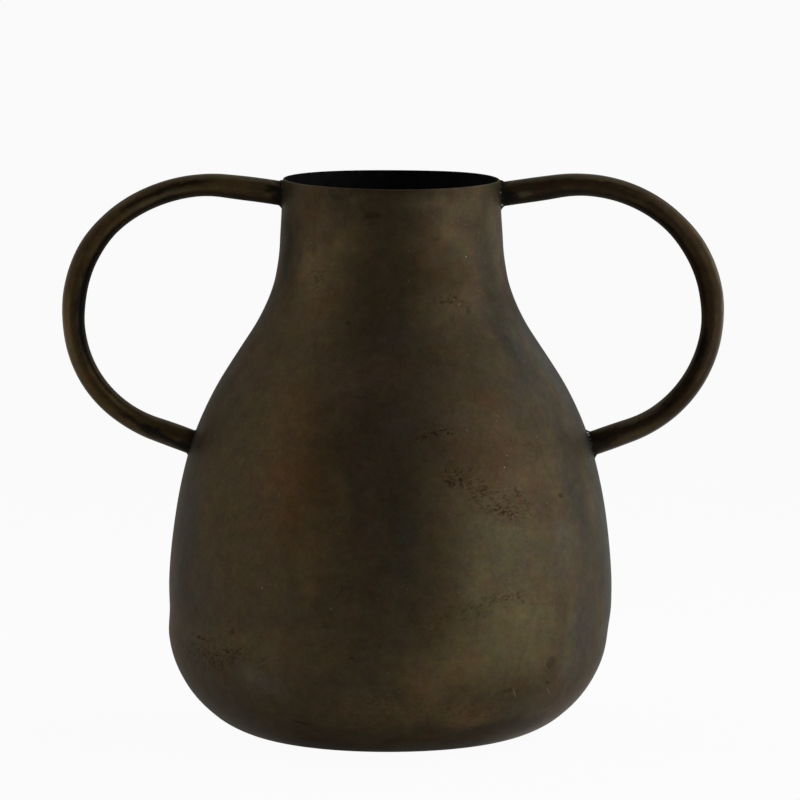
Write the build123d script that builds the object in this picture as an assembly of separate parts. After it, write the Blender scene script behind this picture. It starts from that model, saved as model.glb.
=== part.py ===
from build123d import *

import os
from math import acos, asin, atan2, cos, hypot, pi, radians, sin

# A two-handled vase: two formed shells welded into one body, and two loops of bent tube.
# Origin at the centre of the base, Z up, the handles in the XZ plane. Lengths are in millimetres.

# Body outline, from the rim down: neck, shoulder, belly and bottom corner
HEIGHT = 275.5
RIM_RADIUS = 53.35
NECK_LENGTH = 29.8
NECK_TAPER = radians(2.3)
NECK_ARC = 91.0
SHOULDER_RUN = 23.4
SHOULDER_ARC = 144.0
BELLY_LEAN = radians(14.0)
BELLY_RADIUS = 109.1
WIDEST_RISE = 12.9
CORNER_ARC = 56.4

# Base: a flat ring to stand on, and a middle that is pressed up off the floor
STANDING_RING = 14.0
PRESSED_BEND = 8.0
PRESSED_LEAN = radians(10.0)

# Sheet, and the girth weld that joins the two shells below the widest ring
WALL = 1.2
SEAM_DROP = 9.6
SEAM_FACE = 3.0
SEAM_ROOT = 1.0
ROOT_BEAD = 0.9

# Handle tube and its path
TUBE_DIAMETER = 12.0
TUBE_WALL = 1.2
RIM_MARGIN = 1.2
NECK_RISE = radians(9.1)
BELLY_RISE = radians(19.0)
HANDLE_SPAN = 123.1
OUTERMOST_DROP = 60.1
HANDLE_OVERHANG = 48.3

# Beads that fix the handles to the body
BEAD_LEG = 1.7
BEAD_CROWN = 0.3


def rising(angle):
    """Unit vector in the XZ plane that points outwards and up by an angle."""
    return Vector(cos(angle), 0, sin(angle))


class Outline:
    """The outside of the wall, followed from the rim down to the axis.

    The lean is how far the wall's normal rises. Each stretch is a list of points, with the lean at each:
    two for a straight run and three for an arc.
    """

    def __init__(self, radius, height, lean):
        self.point = Vector(radius, 0, height)
        self.lean = lean
        self.stretches = []

    def run(self, length):
        """Go straight down the wall."""
        start = self.point
        self.point = start + rising(self.lean - pi / 2) * length
        self.stretches.append([(start, self.lean), (self.point, self.lean)])

    def bend(self, radius, lean):
        """Turn to a new lean along an arc, whose radius is negative where the wall is hollow."""
        centre = self.point - rising(self.lean) * radius
        leans = [self.lean, (self.lean + lean) / 2, lean]
        self.stretches.append([(centre + rising(angle) * radius, angle) for angle in leans])
        self.point = centre + rising(lean) * radius
        self.lean = lean

    def edges(self, inset):
        """The outline moved into the metal by an inset."""
        result = []
        for stretch in self.stretches:
            points = [point - rising(lean) * inset for point, lean in stretch]
            result.append(Line(*points) if len(points) == 2 else ThreePointArc(*points))
        return result

    def point_at(self, height):
        """The outline's point at a height, on the side of the body."""
        level = Axis((0, 0, height), (1, 0, 0))
        for edge, stretch in zip(self.edges(0), self.stretches):
            if stretch[0][0].Z >= height >= stretch[-1][0].Z:
                return max(edge.find_intersection_points(level), key=lambda point: point.X)


def body_outline(widest_height):
    """Neck, shoulder, belly, corner and base, each tangent to the next."""

    # The shoulder's lean and the belly's radius follow from the rim and the widest ring, which a tangent
    # chain of neck arc, straight shoulder, shoulder arc and belly arc has to join.
    across = BELLY_RADIUS - RIM_RADIUS - NECK_LENGTH * sin(NECK_TAPER)
    down = HEIGHT - NECK_LENGTH * cos(NECK_TAPER) - widest_height
    half_lean = BELLY_LEAN / 2
    both_arcs = NECK_ARC + SHOULDER_ARC
    spread = (
        NECK_ARC * cos(NECK_TAPER - half_lean)
        + (SHOULDER_ARC - across) * cos(half_lean)
        + down * sin(half_lean)
    )
    turn = acos(spread / hypot(both_arcs, SHOULDER_RUN)) - atan2(SHOULDER_RUN, both_arcs)
    shoulder_lean = half_lean + turn
    above_belly = (
        NECK_ARC * (sin(shoulder_lean) - sin(NECK_TAPER))
        + SHOULDER_RUN * cos(shoulder_lean)
        + SHOULDER_ARC * (sin(shoulder_lean) - sin(BELLY_LEAN))
    )
    belly_arc = (down - above_belly) / sin(BELLY_LEAN)

    outline = Outline(RIM_RADIUS, HEIGHT, NECK_TAPER)
    outline.run(NECK_LENGTH)
    outline.bend(-NECK_ARC, shoulder_lean)
    outline.run(SHOULDER_RUN)
    outline.bend(SHOULDER_ARC, BELLY_LEAN)
    outline.bend(belly_arc, 0)
    outline.bend(belly_arc, -asin(WIDEST_RISE / (belly_arc - CORNER_ARC)))
    outline.bend(CORNER_ARC, -pi / 2)
    outline.run(STANDING_RING)
    outline.bend(PRESSED_BEND, -pi / 2 - PRESSED_LEAN)
    outline.bend(-outline.point.X / sin(PRESSED_LEAN), -pi / 2)
    return outline


def turned(edges):
    """Solid turned about Z from the edges of a closed half section."""
    return revolve(make_face(edges), Axis.Z)


# Body wall, and the same body filled up, which cuts what seats on it
widest_height = CORNER_ARC + WIDEST_RISE
outline = body_outline(widest_height)
outer_edges = outline.edges(0)
inner_edges = outline.edges(WALL)
rim_outer = outer_edges[0] @ 0
rim_inner = inner_edges[0] @ 0
rim_centre = Vector(0, 0, HEIGHT)
base_outer = outer_edges[-1] @ 1
base_inner = inner_edges[-1] @ 1

wall = turned(outer_edges + inner_edges + [Line(rim_outer, rim_inner), Line(base_outer, base_inner)])
filled_body = turned(outer_edges + [Line(base_outer, rim_centre), Line(rim_centre, rim_outer)])

# Girth weld: it fills the groove between the bevelled edges of the shells, with a round root inside
seam_height = widest_height - SEAM_DROP
seam_outer = outline.point_at(seam_height).X
seam_inner = seam_outer - WALL
bevel = (SEAM_FACE - SEAM_ROOT) / 2 / WALL
spare = WALL / 4


def groove_corner(radius, side):
    """Corner of the groove's half section, on the bevel that widens outwards."""
    half_gap = SEAM_ROOT / 2 + (radius - seam_inner) * bevel
    return (radius, 0, seam_height + side * half_gap)


groove = turned(
    Polyline(
        groove_corner(seam_inner - spare, -1),
        groove_corner(seam_outer + spare, -1),
        groove_corner(seam_outer + spare, 1),
        groove_corner(seam_inner - spare, 1),
        close=True,
    )
)
root = Pos(0, 0, seam_height) * Torus(seam_inner, ROOT_BEAD)
girth_weld = (wall & groove) + (root & (filled_body - wall))
base_dish, body_shell = (wall - groove).solids().sort_by(Axis.Z)

# Handle path: out from the neck, round to the outermost point about halfway down, and back to the belly
tube_radius = TUBE_DIAMETER / 2
neck_height = HEIGHT - RIM_MARGIN - tube_radius / cos(NECK_RISE)
neck_joint = outline.point_at(neck_height)
belly_joint = outline.point_at(neck_height - HANDLE_SPAN)
outermost = Vector(BELLY_RADIUS + HANDLE_OVERHANG, 0, neck_height - OUTERMOST_DROP)
neck_way = rising(NECK_RISE)
belly_way = rising(BELLY_RISE)


def bend_start(joint, rise, side):
    """Where the straight run from a joint meets the arc that is upright at the outermost point.

    Side is 1 where the run lies above the arc and -1 where it lies below.
    """
    sideways = (outermost.X - joint.X) * sin(rise)
    upright = abs(joint.Z - outermost.Z) * cos(rise)
    radius = (upright + side * sideways) / (1 + side * sin(rise))
    return outermost - Vector(radius, 0, 0) + rising(rise + side * pi / 2) * radius


neck_bend = bend_start(neck_joint, NECK_RISE, 1)
belly_bend = bend_start(belly_joint, BELLY_RISE, -1)

# Both ends start inside the body, which then cuts them to the saddle that seats on the wall
neck_end = neck_joint - neck_way * TUBE_DIAMETER
belly_end = belly_joint - belly_way * TUBE_DIAMETER
path = Wire(
    [
        Line(neck_end, neck_bend),
        TangentArc(neck_bend, outermost, tangent=neck_way),
        TangentArc(outermost, belly_bend, tangent=(0, 0, -1)),
        Line(belly_bend, belly_end),
    ]
)
tube_start = Plane(neck_end, z_dir=neck_way)
rod = sweep(tube_start * Circle(tube_radius), path)
bore = sweep(tube_start * Circle(tube_radius - TUBE_WALL), path)
handle = rod - bore - filled_body


def bead(joint, way):
    """Ring of weld in the corner between tube and wall, dressed level with the rim where it reaches it."""
    across = Vector(way.Z, 0, -way.X)

    def corner(radius, along):
        return joint + across * radius + way * along

    toe = corner(tube_radius, BEAD_LEG)
    crown = corner(tube_radius + BEAD_LEG + BEAD_CROWN, BEAD_CROWN)
    buried = corner(tube_radius + 2 * BEAD_LEG, -BEAD_LEG)
    foot = corner(tube_radius, -BEAD_LEG)
    section = make_face([ThreePointArc(toe, crown, buried), Line(buried, foot), Line(foot, toe)])
    ring = revolve(section, Axis(joint, way)) - rod - filled_body
    return split(ring, Plane.XY.offset(HEIGHT), keep=Keep.BOTTOM)


neck_bead = bead(neck_joint, neck_way)
belly_bead = bead(belly_joint, belly_way)

# Left and right are as seen from the front, along +Y
nodes = {
    "base_dish": base_dish,
    "body_shell": body_shell,
    "girth_weld": girth_weld,
    "right_handle": handle,
    "right_neck_weld": neck_bead,
    "right_belly_weld": belly_bead,
    "left_handle": mirror(handle, Plane.YZ),
    "left_neck_weld": mirror(neck_bead, Plane.YZ),
    "left_belly_weld": mirror(belly_bead, Plane.YZ),
}

os.makedirs("parts", exist_ok=True)
for name, solid in nodes.items():
    export_step(solid, f"parts/{name}.step")
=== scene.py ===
from math import acos, asin, atan2, ceil, cos, hypot, pi, radians, sin, sqrt
from typing import NamedTuple

import bmesh
import bpy
import numpy as np
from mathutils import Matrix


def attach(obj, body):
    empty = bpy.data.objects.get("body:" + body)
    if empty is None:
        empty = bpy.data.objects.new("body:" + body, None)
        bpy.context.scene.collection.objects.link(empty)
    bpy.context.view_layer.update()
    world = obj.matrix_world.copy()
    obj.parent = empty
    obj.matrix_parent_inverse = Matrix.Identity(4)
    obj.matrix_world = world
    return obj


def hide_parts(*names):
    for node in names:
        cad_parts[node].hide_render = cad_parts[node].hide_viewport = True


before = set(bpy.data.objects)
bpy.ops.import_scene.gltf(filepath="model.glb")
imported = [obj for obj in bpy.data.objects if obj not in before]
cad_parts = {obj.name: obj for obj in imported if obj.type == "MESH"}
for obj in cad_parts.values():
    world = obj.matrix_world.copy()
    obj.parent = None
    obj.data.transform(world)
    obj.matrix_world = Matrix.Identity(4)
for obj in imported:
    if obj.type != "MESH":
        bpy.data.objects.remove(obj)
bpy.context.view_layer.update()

# A two-handled metal vase with a dark antique finish, in metres.
# +Z is up, and +X runs through the right handle.

MM = 0.001

# Body outline, from the rim down
HEIGHT = 275.5 * MM
RIM_RADIUS = 53.35 * MM
NECK_LENGTH = 29.8 * MM
NECK_TAPER = radians(2.3)
NECK_ARC = 91 * MM
SHOULDER_RUN = 23.4 * MM
SHOULDER_ARC = 144 * MM
BELLY_LEAN = radians(14)
BELLY_RADIUS = 109.1 * MM
WIDEST_RISE = 12.9 * MM
CORNER_ARC = 56.4 * MM
STANDING_RING = 14 * MM
PRESSED_BEND = 8 * MM
PRESSED_LEAN = radians(10)
WALL = 1.2 * MM

# Girth seam: its height, its width outside and at the root, the bevel between them, and the round root inside
SEAM_HEIGHT = 59.7 * MM
SEAM_FACE = 3 * MM
SEAM_ROOT = 1 * MM
SEAM_BEVEL = (SEAM_FACE - SEAM_ROOT) / 2
ROOT_BEAD = 0.9 * MM

# Handle tube and its path
TUBE_RADIUS = 6 * MM
TUBE_WALL = 1.2 * MM
RIM_MARGIN = 1.2 * MM
NECK_RISE = radians(9.1)
BELLY_RISE = radians(19)
HANDLE_SPAN = 123.1 * MM
OUTERMOST_DROP = 60.1 * MM
HANDLE_OVERHANG = 48.3 * MM

# Sideways stray of the two shells, and the heights between which it fades
BELLY_STRAY = -0.35 * MM
BELLY_STRAY_FADE = (90 * MM, 220 * MM)
DISH_STRAY = -1.6 * MM
DISH_STRAY_FADE = (SEAM_HEIGHT - 10 * MM, SEAM_HEIGHT + 6 * MM)

# Swells of the spun outline, in millimetres: heights where each begins, is full, fades and is gone, and size
SWELLS = [
    (60, 80, 112, 150, 0.42),
    (160, 190, 206, 228, 0.34),
    (224, 234, 246, 258, 0.2),
    (8, 14, 28, 42, -0.22),
]

# Waves of the spun sheet: count, size, steepest climb, and heights and radii between which they grow
WAVE_COUNT = 9
WAVE_SIZE = 0.05 * MM
WAVE_CLIMB = 2 * pi / (60 * MM)
WAVE_HEIGHTS = (4 * MM, 40 * MM)
WAVE_RADII = (0, 40 * MM)

# Rim: round edges, worn band, and the uneven cut: its reach down the neck and, in millimetres, its mean rise,
# waves (how many, sizes of cosine and sine) and narrow dip
LIP_ROUND = 0.3 * MM
RIM_WEAR = 0.5 * MM
RIM_REACH = 25 * MM
RIM_MEAN = 0.42
RIM_WAVES = [(1, -0.17, 0.1), (2, 0.17, 0), (4, -0.1, 0)]
RIM_DIP = 0.3
RIM_DIP_TURN = radians(-45)
RIM_DIP_POWER = 8

# Bent tube: how much it flattens in its bends and at its outermost stretch, how much of that it gains in
# breadth, and the shares of its length where each begins, is full, fades and is gone
BEND_FLAT = 0.56 * MM
LOOP_FLAT = 0.16 * MM
BROADENING = 0.9
BEND_SHARES = (0.07, 0.19, 0.84, 0.97)
LOOP_SHARES = (0.38, 0.46, 0.55, 0.63)

# Ends of the tube: shares of its length where each lift ends, the stretch fitted to the wall, and depth in it
NECK_LIFT_SHARE = 0.13
BELLY_LIFT_SHARE = 0.9
SEAT_REACH = 14 * MM
SEAT_DEPTH = 0.6 * MM

# Handle beads: lumps on the way round, how far they change leg and hollow, buried depths and rim clearance
BEAD_LUMPS = (2, 3, 5, 8, 13, 19, 26)
LEG_SWING = 0.32
HOLLOW = 0.2
HOLLOW_SWING = 0.22
TOE_BURIED = 0.12 * MM
ROOT_BURIED = 0.7 * MM
RIM_CLEAR = 0.1 * MM

# Mesh steps
WALL_STEP = 2 * MM
AROUND = 320
TUBE_STEP = 1.3 * MM
TUBE_AROUND = 48
BEAD_AROUND = 144
BEAD_ACROSS = 9
MERGE_DISTANCE = 0.001 * MM
SHARP_ANGLE = radians(40)


def smooth_step(low, high, value):
    """0 below low, 1 above high, and a smooth S between them."""
    share = np.clip((value - low) / (high - low), 0, 1)
    return share * share * (3 - 2 * share)


def plateau(begin, full, fade, gone, value):
    """0 up to begin, 1 from full to fade, 0 again from gone on, and a smooth S between them."""
    return smooth_step(begin, full, value) * (1 - smooth_step(fade, gone, value))


def rising(angle):
    """Unit vectors (outwards, up) that rise by an angle."""
    return np.stack([np.cos(angle), np.sin(angle)], axis=-1)


# Body outline


class Outline:
    """The outside of the wall, followed from the rim to the axis and sampled about every WALL_STEP.

    Each sample has a place (radius, height) and a lean, which is how far the wall's normal rises.
    """

    def __init__(self, radius, height, lean):
        self.places = [np.array([[radius, height]])]
        self.leans = [np.array([lean])]

    def add(self, places, leans):
        self.places.append(places[1:])
        self.leans.append(leans[1:])

    def run(self, length):
        """Go straight down the wall."""
        start, lean = self.places[-1][-1], self.leans[-1][-1]
        count = max(2, ceil(length / WALL_STEP) + 1)
        reach = np.linspace(0, length, count)
        self.add(start + reach[:, None] * rising(lean - pi / 2), np.full(count, lean))

    def bend(self, radius, lean):
        """Turn to a new lean along an arc, whose radius is negative where the wall is hollow."""
        start, first = self.places[-1][-1], self.leans[-1][-1]
        count = max(5, ceil(abs(radius * (lean - first)) / WALL_STEP) + 1)
        leans = np.linspace(first, lean, count)
        self.add(start + radius * (rising(leans) - rising(first)), leans)


def body_outline():
    """Neck, shoulder, belly, corner and base as a tangent chain: places and leans from the rim to the axis.

    The shoulder's lean and the belly's radius follow from the rim and the widest ring, which a chain of neck
    arc, straight shoulder, shoulder arc and belly arc has to join.
    """
    across = BELLY_RADIUS - RIM_RADIUS - NECK_LENGTH * sin(NECK_TAPER)
    down = HEIGHT - NECK_LENGTH * cos(NECK_TAPER) - CORNER_ARC - WIDEST_RISE
    half_lean = BELLY_LEAN / 2
    both_arcs = NECK_ARC + SHOULDER_ARC
    spread = NECK_ARC * cos(NECK_TAPER - half_lean) + down * sin(half_lean)
    spread += (SHOULDER_ARC - across) * cos(half_lean)
    turn = acos(spread / hypot(both_arcs, SHOULDER_RUN)) - atan2(SHOULDER_RUN, both_arcs)
    shoulder_lean = half_lean + turn
    above_belly = NECK_ARC * (sin(shoulder_lean) - sin(NECK_TAPER))
    above_belly += SHOULDER_RUN * cos(shoulder_lean)
    above_belly += SHOULDER_ARC * (sin(shoulder_lean) - sin(BELLY_LEAN))
    belly_arc = (down - above_belly) / sin(BELLY_LEAN)

    outline = Outline(RIM_RADIUS, HEIGHT, NECK_TAPER)
    outline.run(NECK_LENGTH)
    outline.bend(-NECK_ARC, shoulder_lean)
    outline.run(SHOULDER_RUN)
    outline.bend(SHOULDER_ARC, BELLY_LEAN)
    outline.bend(belly_arc, 0)
    outline.bend(belly_arc, -asin(WIDEST_RISE / (belly_arc - CORNER_ARC)))
    outline.bend(CORNER_ARC, -pi / 2)
    outline.run(STANDING_RING)
    outline.bend(PRESSED_BEND, -pi / 2 - PRESSED_LEAN)
    outline.bend(-outline.places[-1][-1, 0] / sin(PRESSED_LEAN), -pi / 2)
    return np.vstack(outline.places), np.hstack(outline.leans)


def swollen(places, leans):
    """The same outline, pushed out or in a little where the spinner's tool left it so."""
    height = places[:, 1] / MM
    swell = sum(size * MM * plateau(*heights, height) for *heights, size in SWELLS)
    return places + swell[:, None] * rising(leans), leans


PLACES, LEANS = swollen(*body_outline())
UPRIGHT = LEANS > -pi / 2 + 0.01


def at_height(height):
    """Outside radius and lean of the body's side at a height."""
    heights = PLACES[UPRIGHT, 1][::-1]
    radius = np.interp(height, heights, PLACES[UPRIGHT, 0][::-1])
    return radius, np.interp(height, heights, LEANS[UPRIGHT][::-1])


def stray(height):
    """Sideways place of the shells' axis: none at the neck, a little at the belly and more below the seam."""
    upper = BELLY_STRAY * (1 - smooth_step(*BELLY_STRAY_FADE, height))
    step = 1 - smooth_step(*DISH_STRAY_FADE, height)
    return upper + (DISH_STRAY - BELLY_STRAY) * step


# Meshes


def grid_mesh(name, points, materials, wrap_rows=False, rows_of_second=(0, 0), poles=False):
    """Mesh of a grid of points (rows, columns, 3), with quads between neighbours.

    Columns close on themselves, and rows do where wrap_rows says so. Where a first or last row is a pole, its
    points are merged. The second material goes on the bands of rows that rows_of_second spans.
    """
    rows, columns = points.shape[:2]
    index = np.arange(rows * columns).reshape(rows, columns)
    if wrap_rows:
        index = np.vstack([index, index[:1]])
    index = np.hstack([index, index[:, :1]])
    corners = [index[:-1, :-1], index[1:, :-1], index[1:, 1:], index[:-1, 1:]]
    bands = np.repeat(np.arange(len(index) - 1), columns)
    second = (bands >= rows_of_second[0]) & (bands < rows_of_second[1])
    mesh = bpy.data.meshes.new(name)
    mesh.from_pydata(points.reshape(-1, 3).tolist(), [], np.stack(corners, axis=-1).reshape(-1, 4).tolist())
    mesh.polygons.foreach_set("material_index", second.astype(np.int32))
    if poles:
        merge_poles(mesh)
    mesh.shade_smooth()
    mesh.set_sharp_from_angle(angle=SHARP_ANGLE)
    for material in materials:
        mesh.materials.append(material)
    piece = bpy.data.objects.new(name, mesh)
    bpy.context.scene.collection.objects.link(piece)
    return piece


def merge_poles(mesh):
    """Merge the points of a row that lies on the axis."""
    work = bmesh.new()
    work.from_mesh(mesh)
    bmesh.ops.remove_doubles(work, verts=work.verts, dist=MERGE_DISTANCE)
    work.to_mesh(mesh)
    work.free()


def store(piece, name, values):
    """Keep one number, or one vector, for each point of a piece."""
    kind, field = ("FLOAT_VECTOR", "vector") if values.ndim == 3 else ("FLOAT", "value")
    attribute = piece.data.attributes.new(name, kind, "POINT")
    attribute.data.foreach_set(field, values.astype(np.float32).ravel())


def dress(piece, node):
    """The piece stands for a CAD node: it hangs under the root body, and the CAD node's own part is hidden.
    """
    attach(piece, "root")
    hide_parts(node)


# Shells and their seam


def undulation(turn, height):
    """Unevenness of hand-spun sheet: a sum of waves around and up the body, which fades near the floor."""
    draws = np.random.default_rng(7)
    total = np.zeros(np.broadcast(turn, height).shape)
    for _ in range(WAVE_COUNT):
        waves = draws.integers(2, 7)
        climb = draws.uniform(-1, 1) * WAVE_CLIMB
        phase = draws.uniform(0, 2 * pi)
        total += WAVE_SIZE * np.cos(waves * turn + climb * height + phase)
    return total * smooth_step(*WAVE_HEIGHTS, height)


def rim_rise(turn):
    """How far the hand-cut rim stands above its nominal height: a mean, slow waves, and a narrow dip."""
    rise = RIM_MEAN - RIM_DIP * ((1 + np.cos(turn - RIM_DIP_TURN)) / 2) ** RIM_DIP_POWER
    for count, cosine, sine in RIM_WAVES:
        rise = rise + cosine * np.cos(count * turn) + sine * np.sin(count * turn)
    return MM * rise


def turned(places, leans):
    """Points of a section (radius, height) turned about the body's axis.

    The sheet's waves push them along the wall's normal, the rim's cut lifts them, and the stray shifts them.
    """
    turn = np.linspace(0, 2 * pi, AROUND, endpoint=False)[None, :]
    radius, height, lean = places[:, :1], places[:, 1:], leans[:, None]
    swell = undulation(turn, height) * smooth_step(*WAVE_RADII, radius)
    around = radius + swell * np.cos(lean)
    level = height + swell * np.sin(lean) + rim_rise(turn) * smooth_step(HEIGHT - RIM_REACH, HEIGHT, height)
    return np.stack([around * np.cos(turn) + stray(level), around * np.sin(turn), level], axis=-1)


def inset(places, leans, depth):
    """A section moved into the metal."""
    return places - depth * rising(leans)


def body_shell(finish, inside):
    """Upper shell: the outline down to the seam, back up inside, and over a cut rim with rounded edges."""
    foot = SEAM_HEIGHT + SEAM_FACE / 2
    between = (PLACES[:, 1] > foot) & (PLACES[:, 1] < HEIGHT - RIM_WEAR)
    ends = np.array([HEIGHT - LIP_ROUND, HEIGHT - RIM_WEAR, foot])
    end_radii, end_leans = at_height(ends)
    end_places = np.stack([end_radii, ends], axis=-1)
    outer = np.vstack([end_places[:2], PLACES[between], end_places[2:]])
    outer_leans = np.hstack([end_leans[:2], LEANS[between], end_leans[2:]])
    inner = inset(outer, outer_leans, WALL)[::-1]
    inner[0, 1] -= SEAM_BEVEL
    inner_edge = np.linspace(pi, pi / 2, 5)[1:]
    outer_edge = np.linspace(pi / 2, 0, 5)[:-1]
    lip = LIP_ROUND * np.vstack([rising(inner_edge), rising(outer_edge)]) + [RIM_RADIUS, HEIGHT - LIP_ROUND]
    lip[:, 0] -= np.repeat([WALL - LIP_ROUND, LIP_ROUND], len(inner_edge))
    places = np.vstack([outer, inner, lip])
    leans = np.hstack([outer_leans, outer_leans[::-1], np.full(len(lip), NECK_TAPER)])
    dark = (len(outer) - 1, len(outer) + len(inner) + len(inner_edge) - 1)
    points = turned(places, leans)
    piece = grid_mesh("upper_shell", points, [finish, inside], True, dark)
    rim = places[:, 1] > HEIGHT - (LIP_ROUND + RIM_WEAR) / 2
    store(piece, "rim", np.broadcast_to(rim[:, None], points.shape[:2]))
    dress(piece, "body_shell")


def base_dish(finish, inside):
    """Lower dish: from the axis inside up to the seam, and down outside to the axis under the base."""
    head = SEAM_HEIGHT - SEAM_FACE / 2
    head_radius, head_lean = at_height(head)
    below = (PLACES[:, 1] < head) & (np.arange(len(PLACES)) > np.argmax(PLACES[:, 0]))
    outer = np.vstack([[head_radius, head], PLACES[below]])
    leans = np.append(head_lean, LEANS[below])
    inner = inset(outer, leans, WALL)[::-1]
    inner[-1, 1] += SEAM_BEVEL
    outer[-1, 0] = 0
    inner[0, 0] = 0
    points = turned(np.vstack([inner, outer]), np.hstack([leans[::-1], leans]))
    dark = (0, len(inner) - 1)
    piece = grid_mesh("lower_dish", points, [finish, inside], rows_of_second=dark, poles=True)
    dress(piece, "base_dish")


def girth_seam(finish, inside):
    """Ring of weld between the shells: ground flush outside, with a round root bead inside."""
    rise = np.linspace(1, -1, 5) * SEAM_FACE / 2
    radius, lean = at_height(SEAM_HEIGHT + rise)
    face = np.stack([radius, SEAM_HEIGHT + rise], axis=-1)
    seam_radius, seam_lean = at_height(SEAM_HEIGHT)
    root_turn = np.linspace(-pi / 2, -3 * pi / 2, 9)
    root = np.array([seam_radius - WALL, SEAM_HEIGHT]) + ROOT_BEAD * rising(root_turn)
    places = np.vstack([face, root])
    leans = np.append(lean, np.full(len(root), seam_lean))
    dark = (len(face) - 1, len(places) - 1)
    piece = grid_mesh("girth_seam", turned(places, leans), [finish, inside], True, dark)
    dress(piece, "girth_weld")


# Handle path


def handle_joints():
    """Where the tube's centre line meets the wall at the neck and the belly, and its outermost point."""
    neck_height = HEIGHT - RIM_MARGIN - TUBE_RADIUS / cos(NECK_RISE)
    belly_height = neck_height - HANDLE_SPAN
    neck = np.array([at_height(neck_height)[0], neck_height])
    belly = np.array([at_height(belly_height)[0], belly_height])
    outermost = np.array([BELLY_RADIUS + HANDLE_OVERHANG, neck_height - OUTERMOST_DROP])
    return neck, belly, outermost


def bend_radius(joint, outermost, rise, side):
    """Radius of the arc that a joint's straight run flows into, and that is upright at the outermost point.

    Side is 1 where the run lies above the arc and -1 where it lies below.
    """
    sideways = (outermost[0] - joint[0]) * sin(rise)
    upright = abs(joint[1] - outermost[1]) * cos(rise)
    return (upright + side * sideways) / (1 + side * sin(rise))


def handle_line(neck, belly, outermost):
    """Centre line from neck to belly, of two runs and two arcs: places, headings and lengths along it."""
    upper = bend_radius(neck, outermost, NECK_RISE, 1)
    lower = bend_radius(belly, outermost, BELLY_RISE, -1)
    upper_turn = pi / 2 + NECK_RISE
    lower_turn = pi / 2 - BELLY_RISE
    upper_centre = outermost - [upper, 0]
    lower_centre = outermost - [lower, 0]
    out_run = np.linalg.norm(upper_centre + upper * rising(upper_turn) - neck)
    back_run = np.linalg.norm(lower_centre + lower * rising(-lower_turn) - belly)
    ends = np.cumsum([out_run, upper * upper_turn, lower * lower_turn, back_run])
    along = np.linspace(0, ends[3], ceil(ends[3] / TUBE_STEP))
    upper_angle = upper_turn - (along - ends[0]) / upper
    lower_angle = -(along - ends[1]) / lower
    stretches = [along < ends[0], along < ends[1], along < ends[2]]
    straight_out = neck + along[:, None] * rising(NECK_RISE)
    round_top = upper_centre + upper * rising(upper_angle)
    round_foot = lower_centre + lower * rising(lower_angle)
    straight_back = belly + (ends[3] - along)[:, None] * rising(BELLY_RISE)
    places = np.select(
        [stretch[:, None] for stretch in stretches], [straight_out, round_top, round_foot], straight_back
    )
    headings = np.select(
        stretches,
        [np.full_like(along, NECK_RISE), upper_angle - pi / 2, lower_angle - pi / 2],
        BELLY_RISE - pi,
    )
    return places, headings, along


NECK_PLACE, BELLY_PLACE, OUTERMOST = handle_joints()
LINE, HEADINGS, ALONG = handle_line(NECK_PLACE, BELLY_PLACE, OUTERMOST)

# Joints of tube and wall: place, rise of the tube there, and seed of the beads' lumps
JOINTS = {"neck": (NECK_PLACE, NECK_RISE, 11), "belly": (BELLY_PLACE, BELLY_RISE, 21)}


# Handles. They are worked out on the right, and mirrored for the left


class TubeEnd(NamedTuple):
    """End of a tube as it was set by hand: how far above its joint, its bead's mean leg, and flecks.

    A fleck is a place that is worn bright: degrees from the bead's top towards the viewer, half-width in
    degrees, and strength.
    """

    lift: float
    leg: float
    flecks: list


class Hand(NamedTuple):
    """What differs between the handles: the side (1 right, -1 left), the sway, the ends, and tone and stains.

    The sway is the sizes in millimetres of sine waves along the tube: one half wave, two, three and so on.
    """

    side: int
    sway: list
    ends: dict
    tone: tuple
    stains: list


def reach_wall(start, way, depth, side):
    """How far along a way each point of a bundle goes to lie a depth inside the wall, by repeated steps.

    The bundle is that of the right handle, and for the left (side -1) the wall strays the other way.
    """
    reach = np.zeros(start.shape[:-1])
    for _ in range(12):
        point = start + reach[..., None] * way
        radius, lean = at_height(point[..., 2])
        gap = np.hypot(point[..., 0] - side * stray(point[..., 2]), point[..., 1]) - radius + depth
        reach -= gap * np.cos(lean) / (way[0] * np.cos(lean) + way[2] * np.sin(lean))
    return reach


def on_side(values, side):
    """A grid's values for one side: on the left its columns are reversed, so that faces point outwards."""
    return values if side > 0 else values[:, ::-1]


def bend_flat(share):
    """How much the section flattens along the tube: most in the bends, less at the outermost stretch."""
    return plateau(*BEND_SHARES, share) * (BEND_FLAT + (LOOP_FLAT - BEND_FLAT) * plateau(*LOOP_SHARES, share))


def tube_skin(line, radius, side):
    """Points of a tube's skin: an oval carried along a line, with both ends cut to the wall's saddle.

    Each point also has its place on the tube (length along it, depth, offset out from its middle) and how far
    it faces up.
    """
    turn = np.linspace(0, 2 * pi, TUBE_AROUND, endpoint=False)
    normal = rising(HEADINGS + pi / 2)
    flat = bend_flat(ALONG / ALONG[-1])
    thin = (radius - flat)[:, None] * np.cos(turn)
    broad = (radius + BROADENING * flat)[:, None] * np.sin(turn)
    out = line[:, :1] + thin * normal[:, :1]
    up = line[:, 1:] + thin * normal[:, 1:]
    points = np.stack([out, broad, up], axis=-1)
    ends = (0, ALONG, rising(HEADINGS[0])), (-1, ALONG[-1] - ALONG, -rising(HEADINGS[-1]))
    for row, distance, heading in ends:
        way = np.array([heading[0], 0, heading[1]])
        hold = np.clip(1 - distance / SEAT_REACH, 0, 1)
        reach = reach_wall(points[row], way, SEAT_DEPTH, side)
        points = points + hold[:, None, None] * reach[None, :, None] * way
    upward = normal[:, 1:] * np.cos(turn)
    place = np.stack([np.broadcast_to(ALONG[:, None], thin.shape), broad, thin], axis=-1)
    return points, place, upward


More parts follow.
